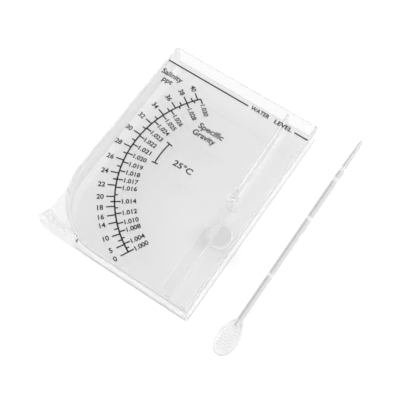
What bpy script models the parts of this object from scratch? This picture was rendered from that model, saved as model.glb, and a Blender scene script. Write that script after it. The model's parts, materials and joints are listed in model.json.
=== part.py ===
"""Swing-arm salinity hydrometer: a flat clear case that is filled with salt water through its open
top, an arm that hangs on a pin inside it and floats up past a scale, and the stirring spoon that
goes with it.

The case lies on its back: +X runs to the right across the scale, +Y up the case towards its open
top, +Z out of the printed face. The origin is the centre of the case's back.
"""

import math

import bmesh
import bpy
from mathutils import Matrix, Vector

MM = 0.001
GAP = 0.3 * MM  # left between pieces that touch
OVERLAP = 0.5 * MM  # how far shapes run into each other before they are joined

# Case
CASE_WIDTH = 103.0 * MM
CASE_HEIGHT = 140.0 * MM
CASE_DEPTH = 17.2 * MM
WALL = 2.0 * MM
CORNER_RADIUS = 39.2 * MM  # of the rounded lower left corner, outside
CORNER_STEPS = 20

# Foot, the fin that squares off the rounded corner so that the case can stand
FOOT_HEIGHT = 7.4 * MM
FOOT_SET_BACK = 2.5 * MM  # its top corner from the left side
FOOT_LENGTH = 24.6 * MM
FOOT_END_HEIGHT = 2.4 * MM  # at its right end
FOOT_WALL = 1.5 * MM
FOOT_END_STEPS = 6
FOOT_END_HOLLOW = 0.58  # power of the end's curve: 1 is a straight slope
HOLLOW_LENGTH = 16.5 * MM
WEB_THICKNESS = 2.0 * MM
WEB_SET_BACK = 0.3 * MM
WEB_TOP = 34.5 * MM
WEB_ARC_START = 184.0  # where the web enters the corner wall, in degrees round the corner
WEB_ARC_END = 242.0

# Pivot
PIVOT_FROM_LEFT = 86.16 * MM
PIVOT_FROM_BOTTOM = 72.49 * MM
PIN_RADIUS = 1.0 * MM
BORE_RADIUS = 1.3 * MM
BOSS_RADIUS = 3.2 * MM
BOSS_LENGTH = 3.2 * MM
BORE_DEPTH = 2.8 * MM
RIB_HEIGHT = 1.5 * MM

# Wall between the chamber and the filling channel
DIVIDER_THICKNESS = 1.7 * MM
DIVIDER_FOOT_RIGHT = 85.6 * MM  # its right face at its lower end, from the left side
DIVIDER_TOP_RIGHT = 84.0 * MM
DIVIDER_FROM_PIVOT = 6.6 * MM
DIVIDER_BELOW_RIM = 1.4 * MM

# Swing arm, measured from its pivot with the arm hanging straight down
ARM_LEFT = -4.56 * MM
ARM_RIGHT = 2.74 * MM
ARM_REACH = 69.5 * MM
ARM_TIP_SLANT = 1.2 * MM
SHOULDER_DROP = 7.8 * MM
NECK_LEFT = -2.2 * MM
NECK_DROP = 6.2 * MM
BAR_BACK = 7.2 * MM  # heights above the table, with the case on its back
BAR_FRONT = 9.6 * MM
HUB_RADIUS = 3.4 * MM
LOBE_RIGHT = 4.94 * MM
LOBE_DROP = 21.5 * MM
LOBE_RADIUS = 7.8 * MM
LOBE_BACK = 5.6 * MM
LOBE_FRONT = 8.9 * MM
POCKET_DEPTH = 2.3 * MM
WEIGHT_RADIUS = 6.6 * MM
WEIGHT_THICKNESS = 1.8 * MM

# Stirring spoon, lying to the right of the case
SPOON_SIDE = 127.4 * MM  # the spoon's centre line and its bottom, from the case's lower left corner
SPOON_DROP = 5.9 * MM
SPOON_LENGTH = 161.1 * MM
STEM_WIDTH = 3.5 * MM
STEM_HEIGHT = 2.6 * MM
STEM_EDGE = 0.8 * MM
STEM_REACH = 4.2 * MM  # how far the stem runs into the bowl
STEM_START_HEIGHT = 2.1 * MM
TIP_TAPER = 28.0 * MM
TIP_WIDTH = 2.2 * MM
TIP_HEIGHT = 2.0 * MM
TIP_END = 1.2 * MM
BOWL_LENGTH = 23.5 * MM
BOWL_HALF_WIDTH = 6.3 * MM
BOWL_TAPER = 0.12  # how much wider than an ellipse the bowl is toward its bottom
BOWL_THICKNESS = 1.8 * MM
BOWL_STEPS = 48

ROUND_STEPS = 32
PANEL_BACK = CASE_DEPTH - WALL
RIM = PANEL_BACK - GAP
LEFT = -CASE_WIDTH / 2
RIGHT = CASE_WIDTH / 2
BOTTOM = -CASE_HEIGHT / 2
TOP = CASE_HEIGHT / 2
PIVOT_X = LEFT + PIVOT_FROM_LEFT
PIVOT_Y = BOTTOM + PIVOT_FROM_BOTTOM


def clear_scene():
    for thing in list(bpy.data.objects):
        bpy.data.objects.remove(thing, do_unlink=True)


def material(name, colour, roughness, transmission=0.0):
    made = bpy.data.materials.new(name)
    made.use_nodes = True
    shader = made.node_tree.nodes["Principled BSDF"]
    shader.inputs["Base Color"].default_value = (*colour, 1.0)
    shader.inputs["Roughness"].default_value = roughness
    shader.inputs["Transmission Weight"].default_value = transmission
    return made


def mesh_object(name, shape, finish=None):
    """Makes an object from a bmesh, with its faces pointing out."""
    bmesh.ops.recalc_face_normals(shape, faces=shape.faces)
    mesh = bpy.data.meshes.new(name)
    shape.to_mesh(mesh)
    shape.free()
    made = bpy.data.objects.new(name, mesh)
    bpy.context.collection.objects.link(made)
    if finish:
        mesh.materials.append(finish)
    return made


def prism(name, outline, low, high, finish=None):
    """An outline in X and Y, extruded from one height to another."""
    shape = bmesh.new()
    corners = [shape.verts.new((x, y, low)) for x, y in outline]
    base = shape.faces.new(corners)
    raised = bmesh.ops.extrude_face_region(shape, geom=[base])["geom"]
    top = [item for item in raised if isinstance(item, bmesh.types.BMVert)]
    bmesh.ops.translate(shape, verts=top, vec=(0, 0, high - low))
    return mesh_object(name, shape, finish)


def cylinder(name, x, y, radius, low, high, finish=None):
    shape = bmesh.new()
    middle = Matrix.Translation((x, y, (low + high) / 2))
    bmesh.ops.create_cone(
        shape,
        cap_ends=True,
        segments=ROUND_STEPS,
        radius1=radius,
        radius2=radius,
        depth=high - low,
        matrix=middle,
    )
    return mesh_object(name, shape, finish)


def boolean(target, tool, operation):
    """Adds a Boolean with a hidden tool object."""
    tool.hide_render = True
    tool.display_type = "WIRE"
    step = target.modifiers.new(tool.name, "BOOLEAN")
    step.operation = operation
    step.solver = "EXACT"
    step.object = tool


def join(target, tool):
    boolean(target, tool, "UNION")


def cut(target, tool):
    boolean(target, tool, "DIFFERENCE")


def set_origin(made, x, y):
    """Moves an object's origin to a joint's axis and leaves its mesh where it is."""
    made.data.transform(Matrix.Translation((-x, -y, 0)))
    made.location = (x, y, 0)


def corner_arc(radius, first=180.0, last=270.0):
    """Points down and round the lower left corner. All its arcs share one centre."""
    x = LEFT + CORNER_RADIUS
    y = BOTTOM + CORNER_RADIUS
    turns = [first + (last - first) * i / CORNER_STEPS for i in range(CORNER_STEPS + 1)]
    return [
        (x + radius * math.cos(math.radians(a)), y + radius * math.sin(math.radians(a)))
        for a in turns
    ]


def arc_angle_at(x):
    """The angle, in degrees, at which the outer corner arc reaches x."""
    return 360.0 - math.degrees(math.acos((x - LEFT - CORNER_RADIUS) / CORNER_RADIUS))


def case_outline(arc, low):
    """The case's outline with the given corner arc, down to y = low below it."""
    return [(LEFT, TOP), *arc, (RIGHT, low), (RIGHT, TOP)]


def foot_outline(right, height_at_right):
    """The fin's outline: a hollowed left end, and a top that slopes down to the right."""
    shares = [i / FOOT_END_STEPS for i in range(FOOT_END_STEPS + 1)]
    end = [
        (LEFT + FOOT_SET_BACK * share**FOOT_END_HOLLOW, BOTTOM + FOOT_HEIGHT * share)
        for share in shares
    ]
    return [*end, (right, BOTTOM + height_at_right), (right, BOTTOM)]


def foot_top_at(x):
    """Height of the fin's sloping top, at a distance from the case's left side."""
    share = (x - FOOT_SET_BACK) / (FOOT_LENGTH - FOOT_SET_BACK)
    return FOOT_HEIGHT + (FOOT_END_HEIGHT - FOOT_HEIGHT) * share


def rear_case(finish):
    """The tray: back, side walls, rounded corner, foot, rear boss and its rib, in one moulding."""
    shell = prism("rear_case", case_outline(corner_arc(CORNER_RADIUS), BOTTOM), 0, RIM, finish)

    inner_arc = corner_arc(CORNER_RADIUS - WALL)
    cavity = [
        (LEFT + WALL, TOP + OVERLAP),
        *inner_arc,
        (RIGHT - WALL, BOTTOM + WALL),
        (RIGHT - WALL, TOP + OVERLAP),
    ]
    cut(shell, prism("chamber_cutter", cavity, WALL, CASE_DEPTH))

    add_foot(shell)

    boss_top = WALL + BOSS_LENGTH
    join(shell, cylinder("rear_boss", PIVOT_X, PIVOT_Y, BOSS_RADIUS, WALL - OVERLAP, boss_top))
    rib_right = LEFT + DIVIDER_FOOT_RIGHT
    rib_end = PIVOT_Y + DIVIDER_FROM_PIVOT - GAP
    rib = [
        (rib_right - DIVIDER_THICKNESS, PIVOT_Y),
        (rib_right, PIVOT_Y),
        (rib_right, rib_end),
        (rib_right - DIVIDER_THICKNESS, rib_end),
    ]
    join(shell, prism("divider_rib", rib, WALL - OVERLAP, WALL + RIB_HEIGHT))
    bore_end = boss_top - BORE_DEPTH
    cut(shell, cylinder("rear_bore", PIVOT_X, PIVOT_Y, BORE_RADIUS, bore_end, boss_top + OVERLAP))
    return shell


def add_foot(shell):
    """Joins the foot and the web above it to the rounded corner."""
    rear = foot_outline(LEFT + CORNER_RADIUS, WALL - OVERLAP / 2)
    join(shell, prism("foot", rear, 0, RIM))
    front = foot_outline(LEFT + FOOT_LENGTH, FOOT_END_HEIGHT)
    join(shell, prism("foot_front", front, RIM - OVERLAP, CASE_DEPTH))

    hollow_left = FOOT_SET_BACK + FOOT_WALL
    hollow = [
        (LEFT + FOOT_WALL * 2, BOTTOM + FOOT_WALL),
        (LEFT + hollow_left, BOTTOM + foot_top_at(hollow_left) - FOOT_WALL),
        (LEFT + HOLLOW_LENGTH, BOTTOM + foot_top_at(HOLLOW_LENGTH) - FOOT_WALL),
        (LEFT + HOLLOW_LENGTH, BOTTOM + FOOT_WALL),
    ]
    web_back = (CASE_DEPTH - WEB_THICKNESS) / 2
    web_front = web_back + WEB_THICKNESS
    cut(shell, prism("foot_hollow_back", hollow, -OVERLAP, web_back))
    cut(shell, prism("foot_hollow_front", hollow, web_front, CASE_DEPTH + OVERLAP))

    web = [
        (LEFT + WEB_SET_BACK, BOTTOM + WEB_TOP),
        (LEFT + WEB_SET_BACK, BOTTOM + FOOT_HEIGHT + WALL),
        (LEFT + FOOT_SET_BACK, BOTTOM + FOOT_HEIGHT - FOOT_WALL / 2),
        (LEFT + FOOT_LENGTH - WALL, BOTTOM + FOOT_END_HEIGHT),
        *reversed(corner_arc(CORNER_RADIUS - WALL / 2, WEB_ARC_START, WEB_ARC_END)),
    ]
    join(shell, prism("corner_web", web, web_back, web_front))


def face_panel(finish):
    """The front plate that carries the scale, with the front boss behind it."""
    split = LEFT + FOOT_LENGTH + GAP
    arc = corner_arc(CORNER_RADIUS, 180.0, arc_angle_at(split))
    outline = case_outline([*arc, (split, BOTTOM)], BOTTOM)
    panel = prism("face_panel", outline, PANEL_BACK, CASE_DEPTH, finish)
    boss_end = PANEL_BACK - BOSS_LENGTH
    join(panel, cylinder("front_boss", PIVOT_X, PIVOT_Y, BOSS_RADIUS, boss_end, PANEL_BACK + OVERLAP))
    bore_end = boss_end + BORE_DEPTH
    cut(panel, cylinder("front_bore", PIVOT_X, PIVOT_Y, BORE_RADIUS, boss_end - OVERLAP, bore_end))
    return panel


def channel_divider(finish):
    """The strip between the chamber and the filling channel. It leans a little to the left."""
    low = PIVOT_Y + DIVIDER_FROM_PIVOT
    high = TOP - DIVIDER_BELOW_RIM
    outline = [
        (LEFT + DIVIDER_FOOT_RIGHT - DIVIDER_THICKNESS, low),
        (LEFT + DIVIDER_FOOT_RIGHT, low),
        (LEFT + DIVIDER_TOP_RIGHT, high),
        (LEFT + DIVIDER_TOP_RIGHT - DIVIDER_THICKNESS, high),
    ]
    return prism("channel_divider", outline, WALL + GAP, RIM, finish)


def pivot_pin(finish):
    """The pin that the arm swings on, held in the bores of the two bosses."""
    low = WALL + BOSS_LENGTH - BORE_DEPTH + GAP
    high = PANEL_BACK - BOSS_LENGTH + BORE_DEPTH - GAP
    pin = cylinder("pivot_pin", PIVOT_X, PIVOT_Y, PIN_RADIUS, low, high, finish)
    set_origin(pin, PIVOT_X, PIVOT_Y)
    return pin


def swing_arm(finish):
    """The arm: a flat bar, a hub on the pin, and a lobe behind it that holds the weight."""
    outline = [
        (NECK_LEFT, 0),
        (NECK_LEFT, -NECK_DROP),
        (ARM_LEFT, -SHOULDER_DROP),
        (ARM_LEFT, -ARM_REACH),
        (ARM_RIGHT, -ARM_REACH + ARM_TIP_SLANT),
        (ARM_RIGHT, 0),
    ]
    placed = [(PIVOT_X + x, PIVOT_Y + y) for x, y in outline]
    arm = prism("swing_arm", placed, BAR_BACK, BAR_FRONT, finish)

    hub_back = WALL + BOSS_LENGTH + GAP
    hub_front = PANEL_BACK - BOSS_LENGTH - GAP
    join(arm, cylinder("arm_hub", PIVOT_X, PIVOT_Y, HUB_RADIUS, hub_back, hub_front))
    lobe_x = PIVOT_X + LOBE_RIGHT
    lobe_y = PIVOT_Y - LOBE_DROP
    join(arm, cylinder("weight_lobe", lobe_x, lobe_y, LOBE_RADIUS, LOBE_BACK, LOBE_FRONT))
    pocket_radius = WEIGHT_RADIUS + GAP
    pocket_end = LOBE_BACK + POCKET_DEPTH
    cut(arm, cylinder("weight_pocket", lobe_x, lobe_y, pocket_radius, LOBE_BACK - OVERLAP, pocket_end))
    bore_ends = (hub_back - OVERLAP, hub_front + OVERLAP)
    cut(arm, cylinder("hub_bore", PIVOT_X, PIVOT_Y, BORE_RADIUS, *bore_ends))
    return arm


def arm_weight(finish):
    """The round weight in the lobe's pocket, set in from behind."""
    front = LOBE_BACK + POCKET_DEPTH - GAP
    x = PIVOT_X + LOBE_RIGHT
    y = PIVOT_Y - LOBE_DROP
    return cylinder("arm_weight", x, y, WEIGHT_RADIUS, front - WEIGHT_THICKNESS, front, finish)


def bowl_outline():
    """The spoon's bowl from its bottom at s = 0, as (distance along, distance across) points."""
    points = []
    for i in range(BOWL_STEPS):
        turn = 2 * math.pi * i / BOWL_STEPS
        half = BOWL_HALF_WIDTH * (1 + BOWL_TAPER * math.cos(turn))
        points.append((BOWL_LENGTH / 2 * (1 - math.cos(turn)), half * math.sin(turn)))
    return points


def stem_ring(shape, along, width, height):
    """One five-sided section of the stem: a flat back, low edges and a ridge."""
    edge = STEM_EDGE * height / STEM_HEIGHT
    half = width / 2
    section = [(-half, 0), (half, 0), (half, edge), (0, height), (-half, edge)]
    return [shape.verts.new((across, along, up)) for across, up in section]


def spoon_stem():
    """The ridged stem from inside the bowl to its narrow tip."""
    shape = bmesh.new()
    stations = [
        (BOWL_LENGTH - STEM_REACH, STEM_WIDTH, STEM_START_HEIGHT),
        (BOWL_LENGTH, STEM_WIDTH, STEM_HEIGHT),
        (SPOON_LENGTH - TIP_TAPER, STEM_WIDTH, STEM_HEIGHT),
        (SPOON_LENGTH - TIP_END, TIP_WIDTH, TIP_HEIGHT),
        (SPOON_LENGTH, TIP_WIDTH / 2, TIP_HEIGHT / 2),
    ]
    rings = [stem_ring(shape, *station) for station in stations]
    for first, second in zip(rings, rings[1:]):
        for i in range(len(first)):
            j = (i + 1) % len(first)
            shape.faces.new((first[i], first[j], second[j], second[i]))
    shape.faces.new(rings[0])
    shape.faces.new(rings[-1])
    return mesh_object("spoon_stem", shape)


def stirring_spoon(finish):
    """A clear stirring spoon that lies beside the case, its bowl toward the foot."""
    outline = [(across, along) for along, across in bowl_outline()]
    spoon = prism("stirring_spoon", outline, 0, BOWL_THICKNESS, finish)
    stem = spoon_stem()
    for piece in (spoon, stem):
        piece.location = Vector((LEFT + SPOON_SIDE, BOTTOM - SPOON_DROP, 0))
    join(spoon, stem)
    return spoon


def build():
    clear_scene()
    clear = material("clear moulded polystyrene", (0.86, 0.87, 0.87), 0.05, 0.9)
    grey = material("grey cast weight", (0.45, 0.45, 0.45), 0.5)
    rear_case(clear)
    face_panel(clear)
    channel_divider(clear)
    pivot_pin(clear)
    arm = swing_arm(clear)
    weight = arm_weight(grey)
    for piece in (arm, weight):
        set_origin(piece, PIVOT_X, PIVOT_Y)
    for name in ("arm_hub", "weight_lobe", "weight_pocket", "hub_bore"):
        set_origin(bpy.data.objects[name], PIVOT_X, PIVOT_Y)
    stirring_spoon(clear)


build()
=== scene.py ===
"""Looks for the swing-arm salinity hydrometer: clear moulded case, printed scale, weighted arm and
stirring spoon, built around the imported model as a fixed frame."""

import json
import math

import bmesh
import bpy
from mathutils import Matrix, Vector


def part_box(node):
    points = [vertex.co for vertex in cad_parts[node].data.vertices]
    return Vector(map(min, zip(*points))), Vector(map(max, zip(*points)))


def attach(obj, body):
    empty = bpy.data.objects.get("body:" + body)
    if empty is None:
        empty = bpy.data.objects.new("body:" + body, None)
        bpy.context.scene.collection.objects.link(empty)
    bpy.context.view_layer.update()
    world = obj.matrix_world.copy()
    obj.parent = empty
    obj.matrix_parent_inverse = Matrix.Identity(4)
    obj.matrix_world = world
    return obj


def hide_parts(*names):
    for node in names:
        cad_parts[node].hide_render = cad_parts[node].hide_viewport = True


bl_info = {
    "name": "Swing-arm hydrometer",
    "version": (1, 0, 0),
    "blender": (4, 5, 0),
    "location": "View3D > Sidebar > Hydrometer",
    "description": "Builds a clear salinity hydrometer with its printed scale and stirring spoon",
    "category": "Add Mesh",
}

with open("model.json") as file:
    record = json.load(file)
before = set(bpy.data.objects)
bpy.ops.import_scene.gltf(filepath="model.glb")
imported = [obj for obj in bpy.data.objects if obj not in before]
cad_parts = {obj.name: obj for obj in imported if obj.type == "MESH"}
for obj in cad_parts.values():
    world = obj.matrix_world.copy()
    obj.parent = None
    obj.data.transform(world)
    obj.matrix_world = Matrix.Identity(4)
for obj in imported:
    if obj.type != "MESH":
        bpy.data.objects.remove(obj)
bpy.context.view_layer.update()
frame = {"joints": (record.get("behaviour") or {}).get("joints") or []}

MM = 0.001
SMALL = 0.01 * MM  # how close a point has to be to count as being in a place

CASE_LOW, CASE_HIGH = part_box("rear_case")
PANEL_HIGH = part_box("face_panel")[1]
DIVIDER_LOW, DIVIDER_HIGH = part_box("channel_divider")
PIN_LOW, PIN_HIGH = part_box("pivot_pin")
ARM_LOW, ARM_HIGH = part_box("swing_arm")
WEIGHT_LOW, WEIGHT_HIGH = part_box("arm_weight")
SPOON_LOW, SPOON_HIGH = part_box("stirring_spoon")
PIVOT = Vector(next(j["pos_m"] for j in frame["joints"] if j["name"] == "arm_swing"))

LEFT, BOTTOM = CASE_LOW.x, CASE_LOW.y
RIGHT, TOP = CASE_HIGH.x, CASE_HIGH.y
FACE = PANEL_HIGH.z

# Case
CORNER_RADIUS = 39.2 * MM
CORNER_STEPS = 40
SEAM = 0.05 * MM  # the hairline left by the weld between tray and panel
BOSS_RADIUS = 3.2 * MM
BOSS_LENGTH = 3.2 * MM
BORE_RADIUS = 1.15 * MM
BORE_DEPTH = 2.8 * MM
RIB_HEIGHT = 1.5 * MM
DIVIDER_THICKNESS = 1.7 * MM
SILL_SHARE = 0.95  # of the wall's thickness, so that the cavity leaves the sill whole
NOTCH_CLEARANCE = 0.3 * MM  # between the face plate and the foot's thin end

# Planed edges on the divider and on the arm, which show as pale lines: their slope is painted white, a
# painted highlight
EDGE_SLOPE = 0.65 * MM
DIVIDER_TILT = math.radians(31)
ARM_TILT = math.radians(22)

# Finish of the clear mouldings
SIDE_COLOUR = "#F0F0F0"
# Painted highlight: the white given to rounded and planed edges
EDGE_HIGHLIGHT_COLOUR = "#FFFFFF"
SIDE_ROUGHNESS = 0.3
HIGHLIGHT_EDGE_BAND = (0.62, 0.33)  # the upright part of the normal on a rounded edge, and its spread: where the painted highlight goes
HIGHLIGHT_SLOPE_BAND = (math.cos(ARM_TILT), 0.02)  # the same for the painted highlight on the arm's planed edge
CLEAR_WHITE = "#FFFFFF"
SPOON_CLEAR = "#FCFCFC"
SPOON_FLANK_SHADE = "#BEBEBE"  # painted shade: grey given to the left flank of the stem's ridge

# Foot and web, which square off the rounded corner
FOOT_HEIGHT = 7.4 * MM
FOOT_END_HEIGHT = 2.6 * MM
FOOT_SET_BACK = 2.5 * MM
FOOT_LENGTH = 24.6 * MM
FOOT_OVERLAP = 1.9 * MM  # how far the foot's thin end runs on into the round corner's wall
FOOT_WALL = 1.5 * MM
HOLLOW_LENGTH = 16.5 * MM
HOLLOW_MIDDLE = 5.0 * MM  # a line across the hollow, which tells its left end from its right
WEB_THICKNESS = 2.0 * MM
WEB_SET_BACK = 0.3 * MM
WEB_TOP = 36.0 * MM

# Swing arm, from its pivot with the arm hanging straight down
ARM_LEFT = -4.56 * MM
ARM_RIGHT = 2.74 * MM
SHOULDER_TOP = -2.9 * MM
SHOULDER_DROP = 4.9 * MM
NECK_LEFT = -2.2 * MM
NECK_DROP = 6.2 * MM
TIP_SLANT = 1.2 * MM
BAR_BACK = 7.2 * MM
BAR_FRONT = 9.6 * MM
HUB_RADIUS = 3.4 * MM
LOBE_RADIUS = 7.8 * MM
LOBE_FRONT = 8.9 * MM
LOBE_DROP = 1.6 * MM
LOBE_ROUND = 1.1 * MM
POCKET_DEPTH = 2.3 * MM
POCKET_CLEARANCE = 0.15 * MM
WEIGHT_ROUND = 0.25 * MM
PIN_ROUND_SHARE = 0.3  # of the pin's radius

# Stirring spoon
SPOON_MIDDLE = (SPOON_LOW.x + SPOON_HIGH.x) / 2
SPOON_LENGTH = SPOON_HIGH.y - SPOON_LOW.y
STEM_WIDTH = 3.5 * MM
STEM_HEIGHT = 2.6 * MM
STEM_EDGE = 0.8 * MM
STEM_START = 0.82  # as a share of the bowl's length
STEM_ROUND = 0.15 * MM
TIP_WIDTH = 2.0 * MM
TIP_THINNING = 0.8
TIP_TAPER = 28.0 * MM
BOWL_LENGTH = 23.5 * MM
BOWL_HALF_WIDTH = 6.3 * MM
BOWL_TAPER = 0.12
BOWL_THICKNESS = 1.8 * MM
BOWL_DISH = 0.9 * MM
BOWL_RIM = 1.2 * MM
BOWL_SLOPE = 0.3 * MM  # how far the dish's wall leans in
BOWL_RIBS = 8
RIB_PITCH = 1.9 * MM
RIB_WIDTH = 0.7 * MM
RIB_REACH = 0.62  # as a share of the bowl's half width
RIB_SUNK = 0.25 * MM  # below the bowl's rim
PAD_RADIUS = 1.5 * MM
PAD_HEIGHT = 0.85  # as a share of the stem's height
PADS_FROM_TIP = (22.5 * MM, 30.8 * MM, 62.0 * MM, 105.3 * MM)  # where the tool's pins pushed
STEM_SHARE = 0.84  # of lamp light that each part of the spoon passes
BOWL_SHARE = 0.95
PAD_SHARE = 0.97

# Studio
LIGHT_BOUNCES = 40
FLOOR_SIZE = 6.0
FLOOR_DROP = 0.05 * MM
SKY_LOW = 1.03
SKY_HIGH = 0.99
CARD_WAY = Vector((-0.254, 0.350, 0.901))  # where the face plate mirrors it to the camera
CARD_CORE = math.radians(18)
CARD_EDGE = math.radians(42)
CARD_GLOW = 0.6

CAMERA_AIM = Vector((15.34 * MM, -3.06 * MM, 0))
CAMERA_DISTANCE = 534.4 * MM
CAMERA_TURN = math.radians(33.17)
CAMERA_RISE = math.radians(65.4)
CAMERA_ROLL = math.radians(0.98)
SENSOR_WIDTH = 36  # millimetres, as is the lens
LENS_LENGTH = 80.26

LAMP_DISTANCE = 1.3
SOFTBOXES = (  # name, turn and rise in degrees, width and height in metres, watts
    ("left", 160, 30, 0.6, 0.5, 4.0),
    ("key", 28, 38, 0.6, 0.5, 3.6),
    ("back", 100, 35, 0.8, 0.5, 1.2),
    ("front", 300, 40, 0.9, 0.9, 1.2),
)

# Print on the face, from the case's lower left corner
SCALE_RADIUS = 68.6 * MM
# The arm settles where its weight and its lift balance, so the tangent of its angle from the middle
# reading is in proportion to the density. Gravities are in thousandths over one.
BALANCE_ANGLE = math.radians(178.6)  # of the reading edge about the pivot, at the middle reading
BALANCE_GRAVITY = 21.88
BALANCE_SPREAD = 10.14  # the change in gravity that turns the arm 45 degrees from there
SALT_GRAVITY = 0.738  # what one part of salt per thousand adds to the gravity
GRAVITY_MARKS = (0, 4, 8, 10, 12, 14, 16, 17, 18, 19, 20, 21, 22, 23, 24, 25, 26, 28, 30)
GRAVITY_MINOR = (2, 6, 13, 15, 27, 29)
SALINITY_MARKS = (0, 5, 10, 14, 16, 18, 20, 22, 24, 26, 28, 30, 32, 34, 36, 38, 40)
SALINITY_MINOR = (7.5, 12, 19, 23, 25, 27, 29, 31, 33, 35, 37, 39)
GRAVITY_TICKS = (-3.6 * MM, -1.8 * MM)  # lengths of the long and the short ones, inwards
SALINITY_TICKS = (4.9 * MM, 2.5 * MM)  # outwards
GRAVITY_RADIUS = 64.4 * MM  # where the figures start
GRAVITY_WIDTH = 8.4 * MM
SALINITY_RADIUS = 77.0 * MM  # where the figures have their middle
SALINITY_SIZE = 1.08  # of the gravity figures' size
BRACKET_RADIUS = 51.1 * MM
BRACKET_ANGLES = (math.radians(188), math.radians(171))
BRACKET_END = 2.1 * MM
STROKE_WEIGHT = 0.13 * MM  # how much bolder than the plain typeface
WATER_LEVEL = 128.9
WATER_LINES = ((1.4, 60.2), (93.1, 102.4))  # left and right ends, in millimetres
FACE_WORDS = (  # words, left end, baseline and width in millimetres, and size against the figures
    ("WATER", 62.1, 127.9, 13.0, 1.0),
    ("LEVEL", 79.0, 127.8, 12.2, 1.0),
    ("Salinity", 2.4, 119.2, 14.8, 1.25),
    ("ppt", 6.1, 114.6, 6.8, 1.25),
    ("Specific", 42.9, 99.6, 17.3, 1.35),
    ("Gravity", 42.2, 94.2, 15.6, 1.35),
    ("25°C", 44.6, 70.3, 13.0, 1.35),
)


def linear(colour):
    """An sRGB hex colour as linear red, green, blue and alpha."""
    parts = [int(colour[i : i + 2], 16) / 255 for i in (1, 3, 5)]
    spread = [p / 12.92 if p <= 0.04045 else ((p + 0.055) / 1.055) ** 2.4 for p in parts]
    return (*spread, 1.0)


class HydrometerSizes(bpy.types.PropertyGroup):
    """Sizes that can change without moving the frame."""

    wall: bpy.props.FloatProperty(
        name="Wall",
        description="Thickness of the tray's walls",
        default=2.0 * MM,
        unit="LENGTH",
    )
    edge_round: bpy.props.FloatProperty(
        name="Edge round",
        description="Radius on the case's moulded edges",
        default=0.3 * MM,
        unit="LENGTH",
    )
    arm_round: bpy.props.FloatProperty(
        name="Arm edge round",
        description="Radius on the arm's edges",
        default=0.32 * MM,
        unit="LENGTH",
    )
    ink: bpy.props.FloatProperty(
        name="Ink film",
        description="Thickness of the printed ink",
        default=0.02 * MM,
        unit="LENGTH",
    )
    figure_size: bpy.props.FloatProperty(
        name="Figure size",
        description="Size of the scale's figures",
        default=3.95 * MM,
        unit="LENGTH",
    )
    line_width: bpy.props.FloatProperty(
        name="Line width",
        description="Width of the scale's arc and of the water line",
        default=0.95 * MM,
        unit="LENGTH",
    )
    tick_width: bpy.props.FloatProperty(
        name="Tick width",
        description="Width of the scale's ticks",
        default=0.85 * MM,
        unit="LENGTH",
    )


class HydrometerColours(bpy.types.PropertyGroup):
    """Colours of the finishes, as sRGB hex values turned to linear."""

    plastic: bpy.props.FloatVectorProperty(
        name="Clear plastic",
        description="Tint of the clear mouldings",
        default=linear("#F8F8F8"),
        size=4,
        subtype="COLOR",
    )
    ink: bpy.props.FloatVectorProperty(
        name="Ink",
        description="Colour of the printed scale",
        default=linear("#101010"),
        size=4,
        subtype="COLOR",
    )
    weight: bpy.props.FloatVectorProperty(
        name="Weight",
        description="Colour of the cast weight",
        default=linear("#DCDCDC"),
        size=4,
        subtype="COLOR",
    )
    floor: bpy.props.FloatVectorProperty(
        name="Floor",
        description="Colour of the studio floor",
        default=linear("#F4F4F4"),
        size=4,
        subtype="COLOR",
    )


# Materials


def add_node(tree, kind, settings=None, inputs=None):
    """Adds a node with its settings and its inputs. An input that is a socket is linked."""
    node = tree.nodes.new(kind)
    for key, value in (settings or {}).items():
        setattr(node, key, value)
    for key, value in (inputs or {}).items():
        if isinstance(value, bpy.types.NodeSocket):
            tree.links.new(value, node.inputs[key])
        else:
            node.inputs[key].default_value = value
    return node


def empty_material(name):
    made = bpy.data.materials.new(name)
    made.use_nodes = True
    made.node_tree.nodes.clear()
    return made, made.node_tree


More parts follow.
